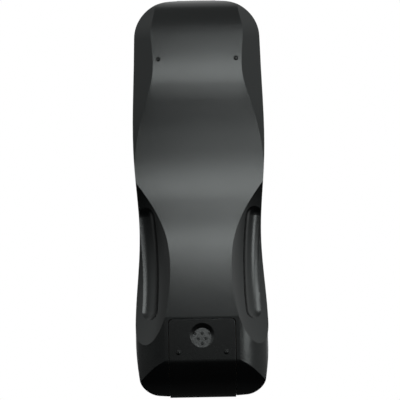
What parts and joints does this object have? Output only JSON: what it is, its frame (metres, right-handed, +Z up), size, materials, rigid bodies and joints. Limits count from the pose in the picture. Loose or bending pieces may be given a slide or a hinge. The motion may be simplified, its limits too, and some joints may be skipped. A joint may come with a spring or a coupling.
{
  "type": "handheld remote control",
  "caption": "Slim black handheld infrared remote with a sculpted two-hump back, side scoops with finger grooves, a sliding battery door and sprung keys.",
  "frame": {"origin": "middle of the remote on the surface that it lies on, back down", "axes": "+Z up through the keypad, +Y towards the infrared end, +X across, seen from above"},
  "size_m": [0.0662, 0.199, 0.0289],
  "materials": {
    "front_shell": "black, fine moulded grain",
    "back_shell": "black, fine moulded grain, satin",
    "door_plastic": "black, fine moulded grain, satin",
    "smoked_window": "smoked infrared-pass plastic",
    "led_resin": "clear resin",
    "board_laminate": "paper laminate",
    "silicone": "soft moulded silicone",
    "screw_steel": "zinc plated",
    "chip_resin": "moulded resin",
    "component_body": "ceramic",
    "can_aluminium": "bare can",
    "cell_jacket": "plain printed jacket",
    "contact_steel": "nickel plated spring steel",
    "key_rubber": "grey, soft satin"
  },
  "bodies": {
    "case": {"back_housing": "back_shell", "battery_left": "cell_jacket", "battery_right": "cell_jacket", "board_screws": "screw_steel", "chip_capacitors": "component_body", "chip_resistors": "chip_resin", "circuit_board": "board_laminate", "contact_bridge": "contact_steel", "contact_negative": "contact_steel", "contact_positive": "contact_steel", "controller_chip": "chip_resin", "front_housing": "front_shell", "ir_led": "led_resin", "ir_window": "smoked_window", "keypad_membrane": "silicone", "led_driver_transistor": "chip_resin", "reservoir_capacitor": "can_aluminium", "resonator": "component_body"},
    "door": {"battery_door": "door_plastic"},
    "key_angle": {"key_angle": "key_rubber"},
    "key_audio": {"key_audio": "key_rubber"},
    "key_clear": {"key_clear": "key_rubber"},
    "key_digit_0": {"key_digit_0": "key_rubber"},
    "key_digit_1": {"key_digit_1": "key_rubber"},
    "key_digit_2": {"key_digit_2": "key_rubber"},
    "key_digit_3": {"key_digit_3": "key_rubber"},
    "key_digit_4": {"key_digit_4": "key_rubber"},
    "key_digit_5": {"key_digit_5": "key_rubber"},
    "key_digit_6": {"key_digit_6": "key_rubber"},
    "key_digit_7": {"key_digit_7": "key_rubber"},
    "key_digit_8": {"key_digit_8": "key_rubber"},
    "key_digit_9": {"key_digit_9": "key_rubber"},
    "key_down": {"key_down": "key_rubber"},
    "key_enter": {"key_enter": "key_rubber"},
    "key_forward": {"key_forward": "key_rubber"},
    "key_left": {"key_left": "key_rubber"},
    "key_menu": {"key_menu": "key_rubber"},
    "key_next": {"key_next": "key_rubber"},
    "key_ok": {"key_ok": "key_rubber"},
    "key_open_close": {"key_open_close": "key_rubber"},
    "key_pause": {"key_pause": "key_rubber"},
    "key_play": {"key_play": "key_rubber"},
    "key_power": {"key_power": "key_rubber"},
    "key_previous": {"key_previous": "key_rubber"},
    "key_return": {"key_return": "key_rubber"},
    "key_rewind": {"key_rewind": "key_rubber"},
    "key_right": {"key_right": "key_rubber"},
    "key_setup": {"key_setup": "key_rubber"},
    "key_slow": {"key_slow": "key_rubber"},
    "key_step": {"key_step": "key_rubber"},
    "key_stop": {"key_stop": "key_rubber"},
    "key_subtitle": {"key_subtitle": "key_rubber"},
    "key_title": {"key_title": "key_rubber"},
    "key_up": {"key_up": "key_rubber"},
    "key_zoom": {"key_zoom": "key_rubber"}
  },
  "joints": [
    {"name": "door_slide", "type": "slide", "parent": "case", "child": "door", "axis": [0, -1, 0], "range_m": [0, 0.045]},
    {"name": "key_angle_press", "type": "slide", "parent": "case", "child": "key_angle", "axis": [0, 0, -1], "range_m": [0, 0.001], "stiffness_N_per_m": 900, "deforming": ["keypad_membrane"]},
    {"name": "key_audio_press", "type": "slide", "parent": "case", "child": "key_audio", "axis": [0, 0, -1], "range_m": [0, 0.001], "stiffness_N_per_m": 900, "deforming": ["keypad_membrane"]},
    {"name": "key_clear_press", "type": "slide", "parent": "case", "child": "key_clear", "axis": [0, 0, -1], "range_m": [0, 0.001], "stiffness_N_per_m": 900, "deforming": ["keypad_membrane"]},
    {"name": "key_digit_0_press", "type": "slide", "parent": "case", "child": "key_digit_0", "axis": [0, 0, -1], "range_m": [0, 0.001], "stiffness_N_per_m": 900, "deforming": ["keypad_membrane"]},
    {"name": "key_digit_1_press", "type": "slide", "parent": "case", "child": "key_digit_1", "axis": [0, 0, -1], "range_m": [0, 0.001], "stiffness_N_per_m": 900, "deforming": ["keypad_membrane"]},
    {"name": "key_digit_2_press", "type": "slide", "parent": "case", "child": "key_digit_2", "axis": [0, 0, -1], "range_m": [0, 0.001], "stiffness_N_per_m": 900, "deforming": ["keypad_membrane"]},
    {"name": "key_digit_3_press", "type": "slide", "parent": "case", "child": "key_digit_3", "axis": [0, 0, -1], "range_m": [0, 0.001], "stiffness_N_per_m": 900, "deforming": ["keypad_membrane"]},
    {"name": "key_digit_4_press", "type": "slide", "parent": "case", "child": "key_digit_4", "axis": [0, 0, -1], "range_m": [0, 0.001], "stiffness_N_per_m": 900, "deforming": ["keypad_membrane"]},
    {"name": "key_digit_5_press", "type": "slide", "parent": "case", "child": "key_digit_5", "axis": [0, 0, -1], "range_m": [0, 0.001], "stiffness_N_per_m": 900, "deforming": ["keypad_membrane"]},
    {"name": "key_digit_6_press", "type": "slide", "parent": "case", "child": "key_digit_6", "axis": [0, 0, -1], "range_m": [0, 0.001], "stiffness_N_per_m": 900, "deforming": ["keypad_membrane"]},
    {"name": "key_digit_7_press", "type": "slide", "parent": "case", "child": "key_digit_7", "axis": [0, 0, -1], "range_m": [0, 0.001], "stiffness_N_per_m": 900, "deforming": ["keypad_membrane"]},
    {"name": "key_digit_8_press", "type": "slide", "parent": "case", "child": "key_digit_8", "axis": [0, 0, -1], "range_m": [0, 0.001], "stiffness_N_per_m": 900, "deforming": ["keypad_membrane"]},
    {"name": "key_digit_9_press", "type": "slide", "parent": "case", "child": "key_digit_9", "axis": [0, 0, -1], "range_m": [0, 0.001], "stiffness_N_per_m": 900, "deforming": ["keypad_membrane"]},
    {"name": "key_down_press", "type": "slide", "parent": "case", "child": "key_down", "axis": [0, 0, -1], "range_m": [0, 0.001], "stiffness_N_per_m": 900, "deforming": ["keypad_membrane"]},
    {"name": "key_enter_press", "type": "slide", "parent": "case", "child": "key_enter", "axis": [0, 0, -1], "range_m": [0, 0.001], "stiffness_N_per_m": 900, "deforming": ["keypad_membrane"]},
    {"name": "key_forward_press", "type": "slide", "parent": "case", "child": "key_forward", "axis": [0, 0, -1], "range_m": [0, 0.001], "stiffness_N_per_m": 900, "deforming": ["keypad_membrane"]},
    {"name": "key_left_press", "type": "slide", "parent": "case", "child": "key_left", "axis": [0, 0, -1], "range_m": [0, 0.001], "stiffness_N_per_m": 900, "deforming": ["keypad_membrane"]},
    {"name": "key_menu_press", "type": "slide", "parent": "case", "child": "key_menu", "axis": [0, 0, -1], "range_m": [0, 0.001], "stiffness_N_per_m": 900, "deforming": ["keypad_membrane"]},
    {"name": "key_next_press", "type": "slide", "parent": "case", "child": "key_next", "axis": [0, 0, -1], "range_m": [0, 0.001], "stiffness_N_per_m": 900, "deforming": ["keypad_membrane"]},
    {"name": "key_ok_press", "type": "slide", "parent": "case", "child": "key_ok", "axis": [0, 0, -1], "range_m": [0, 0.001], "stiffness_N_per_m": 900, "deforming": ["keypad_membrane"]},
    {"name": "key_open_close_press", "type": "slide", "parent": "case", "child": "key_open_close", "axis": [0, 0, -1], "range_m": [0, 0.001], "stiffness_N_per_m": 900, "deforming": ["keypad_membrane"]},
    {"name": "key_pause_press", "type": "slide", "parent": "case", "child": "key_pause", "axis": [0, 0, -1], "range_m": [0, 0.001], "stiffness_N_per_m": 900, "deforming": ["keypad_membrane"]},
    {"name": "key_play_press", "type": "slide", "parent": "case", "child": "key_play", "axis": [0, 0, -1], "range_m": [0, 0.001], "stiffness_N_per_m": 900, "deforming": ["keypad_membrane"]},
    {"name": "key_power_press", "type": "slide", "parent": "case", "child": "key_power", "axis": [0, 0, -1], "range_m": [0, 0.001], "stiffness_N_per_m": 900, "deforming": ["keypad_membrane"]},
    {"name": "key_previous_press", "type": "slide", "parent": "case", "child": "key_previous", "axis": [0, 0, -1], "range_m": [0, 0.001], "stiffness_N_per_m": 900, "deforming": ["keypad_membrane"]},
    {"name": "key_return_press", "type": "slide", "parent": "case", "child": "key_return", "axis": [0, 0, -1], "range_m": [0, 0.001], "stiffness_N_per_m": 900, "deforming": ["keypad_membrane"]},
    {"name": "key_rewind_press", "type": "slide", "parent": "case", "child": "key_rewind", "axis": [0, 0, -1], "range_m": [0, 0.001], "stiffness_N_per_m": 900, "deforming": ["keypad_membrane"]},
    {"name": "key_right_press", "type": "slide", "parent": "case", "child": "key_right", "axis": [0, 0, -1], "range_m": [0, 0.001], "stiffness_N_per_m": 900, "deforming": ["keypad_membrane"]},
    {"name": "key_setup_press", "type": "slide", "parent": "case", "child": "key_setup", "axis": [0, 0, -1], "range_m": [0, 0.001], "stiffness_N_per_m": 900, "deforming": ["keypad_membrane"]},
    {"name": "key_slow_press", "type": "slide", "parent": "case", "child": "key_slow", "axis": [0, 0, -1], "range_m": [0, 0.001], "stiffness_N_per_m": 900, "deforming": ["keypad_membrane"]},
    {"name": "key_step_press", "type": "slide", "parent": "case", "child": "key_step", "axis": [0, 0, -1], "range_m": [0, 0.001], "stiffness_N_per_m": 900, "deforming": ["keypad_membrane"]},
    {"name": "key_stop_press", "type": "slide", "parent": "case", "child": "key_stop", "axis": [0, 0, -1], "range_m": [0, 0.001], "stiffness_N_per_m": 900, "deforming": ["keypad_membrane"]},
    {"name": "key_subtitle_press", "type": "slide", "parent": "case", "child": "key_subtitle", "axis": [0, 0, -1], "range_m": [0, 0.001], "stiffness_N_per_m": 900, "deforming": ["keypad_membrane"]},
    {"name": "key_title_press", "type": "slide", "parent": "case", "child": "key_title", "axis": [0, 0, -1], "range_m": [0, 0.001], "stiffness_N_per_m": 900, "deforming": ["keypad_membrane"]},
    {"name": "key_up_press", "type": "slide", "parent": "case", "child": "key_up", "axis": [0, 0, -1], "range_m": [0, 0.001], "stiffness_N_per_m": 900, "deforming": ["keypad_membrane"]},
    {"name": "key_zoom_press", "type": "slide", "parent": "case", "child": "key_zoom", "axis": [0, 0, -1], "range_m": [0, 0.001], "stiffness_N_per_m": 900, "deforming": ["keypad_membrane"]}
  ]
}
